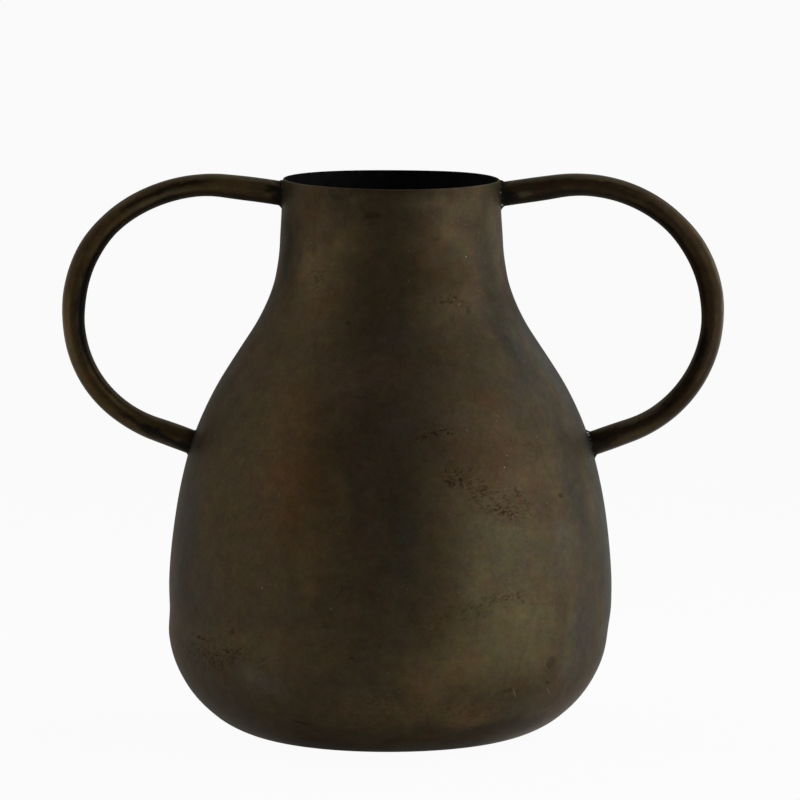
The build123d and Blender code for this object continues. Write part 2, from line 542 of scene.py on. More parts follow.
def handle(name, node, hand, finish):
    """Bent tube: an outer skin and the bore, joined at both ends.

    The centre line sways in its plane by a sum of sines, and its two ends are lifted a little.
    """
    share = ALONG / ALONG[-1]
    waves = np.arange(1, len(hand.sway) + 1)
    drift = np.sin(pi * np.outer(share, waves)) @ np.array(hand.sway) * MM
    line = LINE + drift[:, None] * rising(HEADINGS + pi / 2)
    line[:, 1] += hand.ends["neck"].lift * (1 - smooth_step(0, NECK_LIFT_SHARE, share))
    line[:, 1] += hand.ends["belly"].lift * smooth_step(BELLY_LIFT_SHARE, 1, share)
    outside = tube_skin(line, TUBE_RADIUS, hand.side)
    bore = tube_skin(line, TUBE_RADIUS - TUBE_WALL, hand.side)
    points, place, upward = (np.concatenate([skin, hollow[::-1]]) for skin, hollow in zip(outside, bore))
    piece = grid_mesh(name, on_side(points * [hand.side, 1, 1], hand.side), [finish], True)
    store(piece, "tube_place", on_side(place, hand.side))
    store(piece, "upper", on_side(upward, hand.side))
    dress(piece, node)


def handle_weld(name, node, side, joint, end, finish):
    """Bead of weld in the corner of tube and wall: a hollow ribbon from the tube's toe to the wall's toe.

    Its legs and hollow swell and shrink in lumps on the way round, by a sum of cosines. It is dressed level
    where it meets the rim.
    """
    place, rise, seed = joint
    draws = np.random.default_rng(seed + side)
    turn = np.linspace(0, 2 * pi, BEAD_AROUND, endpoint=False)
    lumps = np.zeros(len(turn))
    for waves in BEAD_LUMPS:
        lumps += draws.uniform(0.5, 1) * np.cos(waves * turn + draws.uniform(0, 2 * pi)) / 4
    way = np.array([cos(rise), 0, sin(rise)])
    across = np.array([-sin(rise), 0, cos(rise)])
    spoke = np.cos(turn)[:, None] * across + np.sin(turn)[:, None] * [0, 1, 0]
    foot = np.array([place[0], 0, place[1] + end.lift])

    def on_wall(radius, depth):
        start = foot + np.broadcast_to(radius, turn.shape)[:, None] * spoke
        return start + reach_wall(start, way, depth, side)[:, None] * way

    leg = end.leg * (1 + LEG_SWING * lumps)
    tube_toe = on_wall(TUBE_RADIUS, 0) + leg[:, None] * way - TOE_BURIED * spoke
    wall_toe = on_wall(TUBE_RADIUS + leg, TOE_BURIED)
    sag = end.leg * (HOLLOW - HOLLOW_SWING * lumps)
    outwards = (spoke + way) / sqrt(2)
    share = np.linspace(0, 1, BEAD_ACROSS)[:, None]
    hollow = 4 * share * (1 - share)
    ribbon = (1 - share)[..., None] * tube_toe + share[..., None] * wall_toe
    skin = ribbon - (hollow * sag)[..., None] * outwards
    root = on_wall(TUBE_RADIUS - ROOT_BURIED, ROOT_BURIED)
    points = np.concatenate([skin, root[None]])[:, ::-1]
    points[..., 2] = np.minimum(points[..., 2], HEIGHT - RIM_CLEAR)
    glow = np.zeros(len(turn))
    for angle, width, strength in end.flecks:
        glow += strength * np.exp(-(((np.degrees(turn) - 360 + angle) / width) ** 2))
    crest = np.concatenate([hollow * glow, np.zeros((1, len(turn)))])[:, ::-1]
    toe = np.broadcast_to(np.append(share, 0.5)[:, None], crest.shape)
    piece = grid_mesh(name, on_side(points * [side, 1, 1], side), [finish], True)
    store(piece, "crest", on_side(crest, side))
    store(piece, "wall_toe", toe)
    dress(piece, node)


# Shader nodes


class Socket:
    """One output of a shader node. Sums, differences and products of sockets and numbers add Math nodes."""

    def __init__(self, finish, output):
        self.finish = finish
        self.output = output

    def other(self, name):
        """Another output of the same node."""
        return Socket(self.finish, self.output.node.outputs[name])

    def math(self, operation, first, second):
        return self.finish.node("Math", {"operation": operation}, {0: first, 1: second})

    def __add__(self, other):
        return self.math("ADD", self, other)

    def __sub__(self, other):
        return self.math("SUBTRACT", self, other)

    def __rsub__(self, other):
        return self.math("SUBTRACT", other, self)

    def __mul__(self, other):
        return self.math("MULTIPLY", self, other)

    __radd__ = __add__
    __rmul__ = __mul__


class Finish:
    """A material, or the world's light, that is built node by node."""

    def __init__(self, owner):
        owner.use_nodes = True
        self.owner = owner
        self.tree = owner.node_tree
        self.tree.nodes.clear()

    def node(self, kind, settings=None, inputs=None, output=0):
        """Add a node: its settings come first, then the values and links of its sockets."""
        node = self.tree.nodes.new("ShaderNode" + kind)
        for name, value in (settings or {}).items():
            setattr(node, name, value)
        for name, value in (inputs or {}).items():
            if isinstance(value, Socket):
                self.tree.links.new(value.output, node.inputs[name])
            else:
                node.inputs[name].default_value = value
        return Socket(self, node.outputs[output]) if len(node.outputs) else node

    def place(self):
        """Place on the object."""
        return self.node("TexCoord", output="Object")

    def kept(self, name, output):
        """What a piece keeps for each of its points."""
        return self.node("Attribute", {"attribute_name": name}, output=output)

    def vector(self, operation, first, second):
        """Vector sum, difference or product, axis by axis."""
        return self.node("VectorMath", {"operation": operation}, {0: first, 1: second})

    def scaled(self, colour, factor):
        """A colour made lighter or darker by one factor."""
        return self.node("VectorMath", {"operation": "SCALE"}, {0: colour, "Scale": factor})

    def part(self, vector, axis):
        """One axis of a vector."""
        return self.node("SeparateXYZ", None, {0: vector}, output=axis)

    def noise(self, vector, scale, detail=3, roughness=0.55, output="Fac"):
        """Cloudy noise of so many patches to a unit, with finer layers."""
        inputs = {"Vector": vector, "Scale": scale, "Detail": detail, "Roughness": roughness}
        return self.node("TexNoise", None, inputs, output)

    def moved(self, place, noise, reach):
        """A place moved about by a coloured noise, over a reach on each axis, to fray stains."""
        centred = self.vector("SUBTRACT", noise, (0.5, 0.5, 0.5))
        return self.vector("ADD", self.vector("MULTIPLY", centred, reach), place)

    def between(self, value, low, high, start=0.0, end=1.0):
        """Smooth S from start to end as a value goes from low to high."""
        inputs = {"Value": value, 1: low, 2: high, 3: start, 4: end}
        return self.node("MapRange", {"interpolation_type": "SMOOTHSTEP"}, inputs)

    def fading(self, reach, edge, share):
        """A share that is whole in the middle of an oval, and fades to nothing across its edge."""
        return self.between(reach, *edge, share, 0.0)

    def oval(self, vector, centre, turn, size):
        """Distance from the middle of an oval that is turned and sized in place: 1 lies on the oval's edge.

        The distance stops at OVAL_REACH. It comes from a round gradient, because a vector's length takes more
        of the room that a compiled shader has.
        """
        far = tuple(OVAL_REACH * half for half in size)
        inputs = {"Vector": vector, "Location": centre, "Rotation": turn, "Scale": far}
        local = self.node("Mapping", {"vector_type": "TEXTURE"}, inputs)
        near = self.node("TexGradient", {"gradient_type": "SPHERICAL"}, {"Vector": local}, "Fac")
        return (1 - near) * OVAL_REACH

    def front_oval(self, vector, azimuth, height, wide, high, slant):
        """Distance from the middle of a slanted oval that lies in the wall on the front of the body."""
        turn = radians(azimuth)
        radius = at_height(height * MM)[0]
        centre = (radius * sin(turn), -radius * cos(turn), height * MM)
        return self.oval(vector, centre, (0, radians(slant), turn), (wide * MM, OVAL_DEPTH, high * MM))

    def tube_oval(self, vector, along, out, long, wide):
        """Distance from the middle of an oval on a tube's front, placed along it and out from its middle."""
        centre = (along * MM, -TUBE_RADIUS, out * MM)
        return self.oval(vector, centre, (0, 0, 0), (long * MM, TUBE_OVAL_DEPTH, wide * MM))

    def mix(self, share, first, second):
        """From a first colour to a second by a share. Sockets 6 and 7 are the node's two colours."""
        settings = {"data_type": "RGBA", "clamp_factor": True}
        return self.node("Mix", settings, {0: share, 6: first, 7: second}, 2)

    def metal(self, colour, roughness, height, depth, edge_tint):
        """Principled metal whose colour, roughness and fine relief change over the surface."""
        normal = self.node("Bump", None, {"Strength": 1.0, "Distance": depth, "Height": height})
        inputs = {"Base Color": colour, "Roughness": roughness, "Normal": normal}
        constants = {"Metallic": 1, "Specular Tint": edge_tint}
        shader = self.node("BsdfPrincipled", None, inputs | constants)
        self.node("OutputMaterial", None, {"Surface": shader})
        return self.owner


# Ovals: how deep they reach into the body and into a tube, and how far out their distance is measured
OVAL_DEPTH = 40 * MM
TUBE_OVAL_DEPTH = 1.5 * TUBE_RADIUS
OVAL_REACH = 1.5

# Where each kind of oval is whole and where it is gone, in shares of its size
STAIN_AND_LIGHT_EDGE = (0.1, 1.3)
PIT_FIELD_EDGE = (0.3, 1.25)
SPOT_EDGE = (0.9, 1.5)
SCRATCH_EDGE = (0.5, 1.1)
TUBE_STAIN_EDGE = (0.3, 1.25)

# How far stains are frayed, on the body and along, across and out from a tube
FRAY = (30 * MM, 30 * MM, 30 * MM)
TUBE_FRAY = (14 * MM, 4 * MM, 4 * MM)

# Dots: cells per metre, radius, and share of the cells that hold one
FINE_DUST = (210, 0.34 * MM, 0.4)
COARSE_DUST = (70, 0.42 * MM, 0.6)
LONE_PITS = (120, 0.55 * MM, 0.3)

# Size of the scuffs' noise along them, through the sheet and across
SCUFF_SIZE = (7 * MM, 7 * MM, 0.7 * MM)

# Depth of the fine relief on sheet and tube, of the scale inside, and of the weld's grain
SKIN_RELIEF = 0.03 * MM
SCALE_RELIEF = 0.1 * MM
WELD_RELIEF = 0.12 * MM

# Tint of the metal at grazing angles
EDGE_TINT = (0.56, 0.575, 0.585, 1)
TUBE_EDGE_TINT = (0.85, 0.85, 0.83, 1)

# Tones of the patina
BRONZE = (0.066, 0.047, 0.026, 1)
BROWN = (0.053, 0.038, 0.020, 1)
RUST = (0.052, 0.031, 0.016, 1)
UMBER = (0.036, 0.025, 0.013, 1)
DUSK = (0.039, 0.030, 0.018, 1)
TAR = (0.026, 0.017, 0.009, 1)
COPPER = (0.082, 0.046, 0.020, 1)
AMBER = (0.078, 0.049, 0.022, 1)
GOLD = (0.103, 0.071, 0.034, 1)
BRIGHT_GOLD = (0.125, 0.081, 0.038, 1)
HONEY = (0.086, 0.061, 0.032, 1)
PEACH = (0.100, 0.069, 0.043, 1)
ROSE = (0.080, 0.053, 0.035, 1)
MAUVE = (0.074, 0.056, 0.040, 1)
BRASS = (0.100, 0.080, 0.039, 1)
STRAW = (0.086, 0.072, 0.050, 1)
OLIVE = (0.068, 0.059, 0.032, 1)
VERDIGRIS = (0.050, 0.044, 0.028, 1)
TAUPE = (0.048, 0.040, 0.029, 1)
SLATE = (0.036, 0.031, 0.023, 1)
PEWTER = (0.054, 0.051, 0.045, 1)
SILVER = (0.102, 0.093, 0.079, 1)
PALE = (0.138, 0.125, 0.098, 1)
CHESTNUT = (0.055, 0.034, 0.018, 1)
WALNUT = (0.048, 0.035, 0.018, 1)
COAL = (0.016, 0.011, 0.006, 1)
SAND = (0.088, 0.068, 0.037, 1)
WHEAT = (0.125, 0.097, 0.053, 1)
BUFF = (0.142, 0.111, 0.067, 1)
MOSS = (0.062, 0.050, 0.023, 1)
OCHRE = (0.110, 0.074, 0.033, 1)
TAN = (0.096, 0.064, 0.027, 1)
MAROON = (0.030, 0.014, 0.008, 1)
SOOT = (0.010, 0.009, 0.008, 1)
SCALE = (0.036, 0.030, 0.021, 1)
FLECK = (0.30, 0.29, 0.27, 1)
# Painted highlight: the lighter tone laid on the upward-facing side of the tubes, where light from above
# falls
TOP_LIGHT = (0.120, 0.095, 0.060, 1)
WORN = (0.20, 0.165, 0.11, 1)
# Pale bare metal: the worn rim, partly a painted highlight on the lip, and a painted highlight along the top
# of the tubes
BARE_AND_HIGHLIGHT = (0.23, 0.205, 0.18, 1)
DUST = (0.32, 0.30, 0.26, 1)
# Colour of pits, also laid as painted shade on the downward-facing side of the tubes
PIT_AND_SHADE = (0.022, 0.015, 0.009, 1)
DARK_SCALE = (0.007, 0.0062, 0.0065, 1)
LIGHT_SCALE = (0.019, 0.0165, 0.017, 1)

# Stains on the front, with a few patches of painted light and shade among them: azimuth in degrees to the
# right of the middle, height, half-width and half-height in millimetres, slant in degrees down to the right,
# share and colour. Later ones lie over earlier ones.
STAINS_AND_PAINTED_LIGHT = [
    (-50, 110, 40, 60, 0, 0.7, BROWN),
    (-58, 78, 22, 24, 0, 0.6, TAUPE),
    (-70, 106, 15, 56, 0, 0.8, TAUPE),
    (-66, 92, 12, 27, 0, 0.5, DUSK),
    (-40, 200, 34, 38, 0, 0.6, BRONZE),
    (28, 58, 48, 27, -6, 0.9, BRASS),
    (60, 60, 17, 26, 0, 0.6, PEWTER),
    (5, 27, 42, 12, 0, 0.8, GOLD),
    (30, 106, 28, 28, 0, 0.75, OLIVE),
    (62, 120, 17, 48, 0, 0.85, SLATE),
    (80, 110, 14, 70, 0, 0.7, PEWTER),
    (71, 92, 10, 26, 0, 0.5, SLATE),
    (49, 77, 10, 14, 0, 0.4, TAUPE),
    (55, 46, 11, 11, 0, 0.5, STRAW),
    (26, 187, 28, 22, 0, 0.7, BRONZE),
    (44, 165, 14, 24, 0, 0.5, DUSK),
    (46, 124, 12, 16, 0, 0.5, DUSK),
    (26, 150, 22, 14, 12, 0.8, RUST),
    (30, 172, 13, 18, 0, 0.6, RUST),
    (36, 155, 10, 10, 0, 0.6, RUST),
    (35, 125, 9, 9, 0, 0.5, BROWN),
    (49, 172, 9, 22, 0, 0.6, TAUPE),
    (46, 98, 10, 16, 0, 0.5, VERDIGRIS),
    (59, 187, 11, 42, 0, 0.6, PEWTER),
    (80, 184, 19, 34, 0, 0.95, SILVER),
    # Painted light: these pale patches beside the belly joints lift the shade and dark reflection that the
    # tubes cast on the wall
    (80, 152, 11, 9, 0, 0.6, SILVER),
    (70, 154, 10, 9, 0, 0.35, PALE),
    (-80, 150, 12, 13, 0, 0.7, STRAW),
    (-78, 150, 9, 9, 0, 0.2, PALE),
    (-81, 184, 13, 36, 0, 0.75, STRAW),
    (55, 205, 10, 36, 0, 0.85, SLATE),
    (63, 198, 7, 18, 0, 0.5, PEWTER),
    (38, 193, 17, 32, 0, 0.5, DUSK),
    (41, 207, 11, 11, 0, 0.6, DUSK),
    (2, 208, 16, 14, 0, 0.7, MAUVE),
    (-33, 171, 17, 17, 0, 0.6, AMBER),
    (-46, 163, 16, 22, 0, 0.4, BROWN),
    (-35, 219, 12, 10, 0, 0.5, AMBER),
    (-27, 137, 22, 38, 0, 0.85, COPPER),
    (-8, 187, 28, 18, 0, 0.85, PEACH),
    (-17, 174, 10, 14, 0, 0.5, PEACH),
    (-6, 145, 13, 42, 0, 0.75, ROSE),
    (5, 165, 12, 16, 0, 0.75, MAUVE),
    (-7, 117, 8, 18, 0, 0.6, ROSE),
    (3, 112, 12, 40, -4, 0.8, VERDIGRIS),
    (5, 70, 15, 13, 0, 0.7, BRONZE),
    (-2, 42, 16, 9, 0, 0.6, BROWN),
    (-27, 54, 26, 18, 0, 0.6, HONEY),
    (-37, 72, 11, 17, 0, 0.5, TAUPE),
    (-16, 60, 11, 15, 0, 0.7, HONEY),
    (-36, 40, 14, 11, 0, 0.85, STRAW),
    (-39, 48, 9, 9, 0, 0.45, BRONZE),
    (-63, 52, 10, 13, 0, 0.4, PEWTER),
    (-58, 42, 11, 10, 0, 0.4, PEWTER),
    (52, 100, 9, 15, 0, 0.4, PEWTER),
    (55, 61, 9, 14, 0, 0.35, BRASS),
    (13, 176, 14, 16, 0, 0.3, PEACH),
    (-11, 88, 10, 26, 0, 0.6, HONEY),
    # Painted shade: darker at the foot on the right, near the contact shadow
    (36, 13, 30, 9, 0, 0.6, DUSK),
    (14, 45, 28, 17, 0, 0.6, GOLD),
    (18, 50, 17, 14, 0, 0.6, BRIGHT_GOLD),
    (23, 25, 19, 9, 0, 0.9, BRIGHT_GOLD),
    (-3, 33, 14, 7, 0, 0.55, BRONZE),
    (10, 38, 12, 9, 0, 0.6, BRIGHT_GOLD),
    (-17, 24, 20, 9, 0, 0.5, HONEY),
    (23, 86, 11, 13, 0, 0.65, BRASS),
    (-21, 95, 9, 33, 0, 0.85, GOLD),
    (-15, 106, 8, 24, 0, 0.5, GOLD),
    (-15, 130, 7, 18, 0, 0.75, GOLD),
    (25, 260, 28, 10, 0, 0.6, DUSK),
    (46, 262, 16, 15, 0, 0.7, DUSK),
    (24, 235, 23, 17, 0, 0.9, UMBER),
    (17, 240, 10, 7, 0, 0.35, BRONZE),
    (20, 253, 11, 13, 0, 0.5, RUST),
    (1, 251, 9, 10, 0, 0.6, BRONZE),
    (-16, 225, 12, 20, 0, 0.5, HONEY),
    (60, 232, 12, 30, 0, 0.85, DUSK),
    (60, 267, 10, 11, 0, 0.6, DUSK),
    (60, 243, 9, 16, 0, 0.5, SLATE),
    (30, 255, 9, 9, 0, 0.3, HONEY),
    # Painted shade: dims the right lamp's reflection on the neck
    (52, 245, 8, 20, 0, 0.5, DUSK),
    (39, 243, 9, 9, 0, 0.6, DUSK),
    (35, 275, 26, 7, 0, 0.6, DUSK),
    # Partly painted shade: darkens the band under the rim, and on the right dims the lamp's highlight on the
    # rounded lip
    (15, 280, 42, 9, 0, 0.65, TAR),
    (13, 273, 6, 4, 0, 0.4, BRONZE),
    (25, 264, 7, 6, 0, 0.4, DUSK),
    (51, 247, 6, 10, 0, 0.4, SLATE),
    (-34, 271, 22, 8, 0, 0.85, DUSK),
    (-36, 275, 20, 5, 0, 0.5, TAR),
    (-19, 271, 7, 5, 0, 0.7, HONEY),
    (-45, 262, 15, 20, 0, 0.75, RUST),
    (-66, 245, 13, 32, 0, 1.0, TAR),
    (-42, 232, 13, 13, 10, 0.6, GOLD),
    (-46, 246, 10, 12, 0, 0.5, BROWN),
    (-20, 250, 10, 10, 0, 0.65, GOLD),
    (-29, 254, 9, 19, 0, 0.55, BROWN),
    (-5, 236, 9, 15, 0, 0.5, ROSE),
    (-52, 25, 26, 13, 0, 0.45, TAUPE),
    (-33, 22, 15, 8, 0, 0.5, OLIVE),
    (40, 24, 17, 8, 0, 0.5, OLIVE),
    # Painted shade: darker at the foot on the right, near the contact shadow
    (50, 11, 20, 7, 0, 0.65, DUSK),
    (0, 7, 70, 5, 0, 0.7, RUST),
    (3, 6, 60, 4, 0, 0.25, COPPER),
]

# Fields of pits on the front: azimuth, height, half-width, half-height and slant as above, and share
PIT_FIELDS = [
    (31, 221, 13, 4, 0, 0.9),
    (-38, 229, 9, 8, 20, 0.5),
    (13, 161.5, 15, 4, -13, 1.4),
    (18, 140, 9, 6, 20, 1.0),
    (30, 131, 26, 8, 24, 0.9),
    (44, 152, 7, 3, 30, 0.6),
    (25, 77, 44, 5.5, -2, 0.65),
    (10, 27, 60, 14, 0, 0.35),
    (-14, 92, 15, 6, 0, 0.6),
    (-52, 48, 29, 8, -3, 1.0),
    (-56, 57.5, 9, 1.6, 0, 1.6),
    (-46, 63, 4, 5, 0, 0.8),
]

# Dark spots and smears on the front, given in the same way
SPOTS = [
    (46.8, 46.6, 4.6, 3.9, 0, 0.45),
    (53, 127, 2.6, 1.3, 10, 0.7),
    (-10, 262.8, 5.5, 2.2, -10, 0.4),
    (-14.5, 265.5, 5.5, 1.8, 50, 0.22),
    (-19, 211, 2.2, 1.5, 0, 0.45),
    (24, 251, 2.4, 1.1, 0, 0.4),
    (38, 216, 1.8, 2, 0, 0.45),
    (-10, 54, 2, 0.8, 0, 0.6),
    (47, 36.5, 2, 1, 20, 0.6),
    (33, 35, 4.5, 1.6, 0, 0.35),
    (-27, 18.8, 7, 0.9, 8, 0.5),
]

# Scratches on the front that show pale metal, given in the same way
SCRATCHES = [
    (35.5, 33.5, 4, 0.35, 55, 0.5),
    (49, 31.5, 4, 0.35, 40, 0.4),
    (-35, 48.5, 7, 0.4, -22, 0.14),
    (-31, 52, 5, 0.4, -15, 0.12),
]

# Stains on the front of the tubes: length from the neck joint, offset out from the middle of the tube,
# half-length and half-width in millimetres, share and colour
RIGHT_TUBE = (0.034, 0.021, 0.011, 1)
RIGHT_TUBE_STAINS = [
    (40, 1.2, 26, 2.6, 0.6, CHESTNUT),
    (100, 0.4, 24, 3, 0.5, WALNUT),
    (134, -1, 15, 2.6, 0.5, CHESTNUT),
    (86, -4.2, 26, 2.4, 0.7, PIT_AND_SHADE),
    (140, 3, 62, 2, 0.6, COAL),
    (196, 2.4, 26, 3, 0.6, COAL),
    (112, 5.7, 46, 1.4, 0.6, SAND),
    (48, 4.9, 32, 1.8, 0.8, WHEAT),
    (206, -4.7, 18, 1.7, 0.9, BUFF),
    (211, 3.4, 16, 3, 0.4, MOSS),
    (30, -3.4, 18, 2.2, 0.85, SOOT),
    (76, -4.6, 18, 1.8, 0.8, SOOT),
    (158, -3.4, 12, 2.4, 0.9, SOOT),
    (173, -2.4, 8, 2, 0.7, SOOT),
    (190, -1.8, 4, 1.1, 0.6, SOOT),
    (11.5, -0.8, 5, 2.6, 0.75, OLIVE),
    (4, -1.5, 5, 4.5, 0.9, SOOT),
    (228, 1, 6, 3.4, 0.9, SOOT),
]
LEFT_TUBE = (0.060, 0.039, 0.017, 1)
LEFT_TUBE_STAINS = [
    (26, 1.6, 16, 3, 0.7, OCHRE),
    (62, -0.6, 24, 2.2, 0.7, SAND),
    (94, 0.2, 20, 2.4, 0.6, TAN),
    (150, 1.6, 24, 1.8, 0.4, AMBER),
    (194, -3, 10, 2, 0.6, GOLD),
    (214, 4.8, 17, 1.7, 0.85, WHEAT),
    (104, 3.4, 30, 1.9, 0.75, PIT_AND_SHADE),
    (106, 5.5, 24, 1.6, 0.75, UMBER),
    (34, 5.2, 24, 1.6, 0.8, BUFF),
    (22, -3.2, 20, 2.6, 0.7, CHESTNUT),
    (12, -1.4, 6, 0.9, 0.6, MAROON),
    (46, 2.2, 11, 1.3, 0.9, PIT_AND_SHADE),
    (62, 1.6, 11, 1.4, 0.9, PIT_AND_SHADE),
    (76, 2.2, 9, 1.2, 0.8, PIT_AND_SHADE),
    (57, -3.2, 9, 1.6, 0.85, PIT_AND_SHADE),
    (88, 5, 16, 1.4, 0.6, UMBER),
    (108, -4.6, 26, 2.6, 0.85, PIT_AND_SHADE),
    (142, -3.9, 44, 3.3, 0.95, SOOT),
    (203, 0.2, 8, 1.5, 0.9, PIT_AND_SHADE),
    (213, 1, 8, 2.1, 0.95, SOOT),
    (222, 2.2, 9, 2.1, 0.95, SOOT),
    (231, 2.8, 6, 3, 0.95, SOOT),
    (6, 2.2, 5, 2, 0.8, SOOT),
    (1.5, -2.4, 2, 3.6, 0.7, SOOT),
]

HANDS = {
    "right": Hand(
        side=1,
        sway=[0.7, -0.3, -0.4, -0.1, 0.1, 0],
        ends={
            "neck": TubeEnd(0.15 * MM, 2.0 * MM, [(76, 9, 0.5), (140, 22, 0.55)]),
            "belly": TubeEnd(-0.4 * MM, 1.7 * MM, [(20, 7, 1.0), (40, 8, 0.8), (62, 6, 0.45)]),
        },
        tone=RIGHT_TUBE,
        stains=RIGHT_TUBE_STAINS,
    ),
    "left": Hand(
        side=-1,
        sway=[-0.8, 0.1, -0.4, 0.1, 0.1, 0.3],
        ends={
            "neck": TubeEnd(0.55 * MM, 1.6 * MM, [(26, 9, 0.6), (54, 8, 0.5), (86, 7, 0.4)]),
            "belly": TubeEnd(0.4 * MM, 0.9 * MM, []),
        },
        tone=LEFT_TUBE,
        stains=LEFT_TUBE_STAINS,
    ),
}


# Finishes


def clouds(finish, place):
    """Patina all round: bronze with drifting clouds of other tones, which give way to stains in front."""
    behind = finish.between(finish.part(place, "Y"), -70 * MM, 10 * MM, 0.12, 1.0)
    colour = BRONZE
    for number, tone in enumerate((COPPER, ROSE, OLIVE, BRASS, UMBER, GOLD, SLATE)):
        inputs = {"Vector": place, "Location": (number, 2 * number, 0)}
        drift = finish.noise(finish.node("Mapping", None, inputs), 15, 4)
        colour = finish.mix(finish.between(drift, 0.46, 0.7) * behind * 0.75, colour, tone)
    return colour


def stained_and_painted_light(finish, frayed, colour):
    """Colour with the stains of the front laid over it, and the few patches of painted light and shade among
    them.
    """
    for *oval, share, tone in STAINS_AND_PAINTED_LIGHT:
        reach = finish.front_oval(frayed, *oval)
        colour = finish.mix(finish.fading(reach, STAIN_AND_LIGHT_EDGE, share), colour, tone)
    return colour


def mottled(finish, place, colour):
    """Fine mottling, about as strong at every size from 15 mm to half a millimetre.

    It goes from dark to light, from warm to cold, and from green to rose.
    """
    tone = 1 + (finish.noise(place, 150, 5, 0.92) - 0.5) * 1.3
    warmth = finish.noise(finish.vector("MULTIPLY", place, (-1, 1, 1)), 100, 5, 0.9) - 0.5
    green = finish.noise(finish.vector("MULTIPLY", place, (1, -1, 1)), 100, 5, 0.9) - 0.5
    rose = tone - green * 0.25
    inputs = {"X": rose + warmth * 0.5, "Y": tone + green * 0.6, "Z": rose - warmth * 0.85}
    return finish.vector("MULTIPLY", colour, finish.node("CombineXYZ", None, inputs))


def scuffs(finish, place):
    """Short fine scratches in two slanting directions: noise drawn out along each, where it is highest."""
    total = 0.0
    for slant in (38, -52):
        inputs = {"Vector": place, "Rotation": (0, radians(slant), 0), "Scale": SCUFF_SIZE}
        slanted = finish.node("Mapping", {"vector_type": "TEXTURE"}, inputs)
        total = finish.between(finish.noise(slanted, 1, 2, 0.5), 0.6, 0.72) + total
    return total


def scattered(finish, place, scale, radius, chosen):
    """Small dots in a chosen share of the cells of a random pattern, about one to a cell."""
    inputs = {"Vector": place, "Scale": scale, "Randomness": 1.0}
    distance = finish.node("TexVoronoi", {"feature": "F1"}, inputs, "Distance")
    near = finish.between(distance, radius * 0.4 * scale, radius * scale, 1.0, 0.0)
    pick = finish.part(distance.other("Color"), "X")
    return near * finish.between(pick, 1 - chosen, 1 - chosen + 0.02)


def pitted(finish, place, frayed, colour):
    """Colour with rust, pale grains and pits in the fields of pits, and with single pits all over.

    It gives the share of the pits too.
    """
    field = 0.0
    for *oval, share in PIT_FIELDS:
        field = finish.fading(finish.front_oval(frayed, *oval), PIT_FIELD_EDGE, share) + field
    crowd = field * finish.between(finish.noise(place, 130), 0.36, 0.58, 0.5, 1.25)
    specks = finish.noise(finish.vector("MULTIPLY", place, (1, 1, 1.7)), 430, 5, 0.75)
    rust = finish.between(specks, 0.42, 0.56) * crowd
    grains = finish.between(specks, 0.36, 0.44, 1.0, 0.0) * crowd
    pits = finish.between(specks, 0.51, 0.62) * crowd + scattered(finish, place, *LONE_PITS) * 0.7
    colour = finish.mix(rust * 0.5, colour, RUST)
    colour = finish.mix(grains * 0.3, colour, BRASS)
    return finish.mix(pits * 0.6, colour, PIT_AND_SHADE), pits


def marked(finish, place, mottle, colour):
    """Colour with the dark spots, whose edges follow the mottling, and the pale scratches of the front."""
    for *oval, share in SPOTS:
        reach = finish.front_oval(place, *oval) + mottle * 0.9
        colour = finish.mix(finish.fading(reach, SPOT_EDGE, share), colour, PIT_AND_SHADE)
    for *oval, share in SCRATCHES:
        reach = finish.front_oval(place, *oval)
        colour = finish.mix(finish.fading(reach, SCRATCH_EDGE, share), colour, WORN)
    return colour


def shell_finish():
    """Spun sheet: patina in clouds and stains, with a few patches of painted light and shade, finely mottled,
    with pits, marks, dust and a worn rim that is partly a painted highlight.
    """
    finish = Finish(bpy.data.materials.new("antique_shell"))
    place = finish.place()
    frayed = finish.moved(place, finish.noise(place, 42, 5, 0.5, "Color"), FRAY)
    mottle = finish.noise(place, 60, 5, 0.85)
    brush = finish.noise(finish.vector("MULTIPLY", place, (80, 80, 330)), 1, 3, 0.6)

    colour = stained_and_painted_light(finish, frayed, clouds(finish, place))
    colour = finish.scaled(mottled(finish, place, colour), 1 + (brush - 0.5) * 0.16)
    worn_patches = finish.between(finish.noise(place, 26), 0.44, 0.6)
    colour = finish.mix(scuffs(finish, place) * worn_patches * 0.05, colour, WORN)
    colour, pits = pitted(finish, place, frayed, colour)
    colour = marked(finish, place, mottle, colour)
    dust = scattered(finish, place, *FINE_DUST) * 0.4 + scattered(finish, place, *COARSE_DUST) * 0.65
    colour = finish.mix(dust, colour, DUST)
    rim = finish.between(finish.kept("rim", "Fac"), 0.5, 1.0)
    # The pale rim band is partly real wear and partly a painted highlight where the rounded lip catches the
    # light
    rim_wear_and_highlight = rim * finish.between(mottle, 0.4, 0.54, 0.35, 1.0)
    colour = finish.mix(rim_wear_and_highlight * 0.2, colour, BARE_AND_HIGHLIGHT)

    roughness = 0.45 + mottle * 0.08 + pits * 0.15 + rim_wear_and_highlight * 0.1
    height = mottle + brush * 0.3 - pits * 1.5
    return finish.metal(colour, roughness, height, SKIN_RELIEF, EDGE_TINT)


def inside_finish():
    """Inside of the sheet: black scale from heating, rough and dull."""
    finish = Finish(bpy.data.materials.new("black_inside"))
    scale = finish.noise(finish.place(), 160, 5, 0.7)
    colour = finish.mix((scale - 0.3) * 2.5, DARK_SCALE, LIGHT_SCALE)
    return finish.metal(colour, 0.6 + scale * 0.2, scale, SCALE_RELIEF, EDGE_TINT)


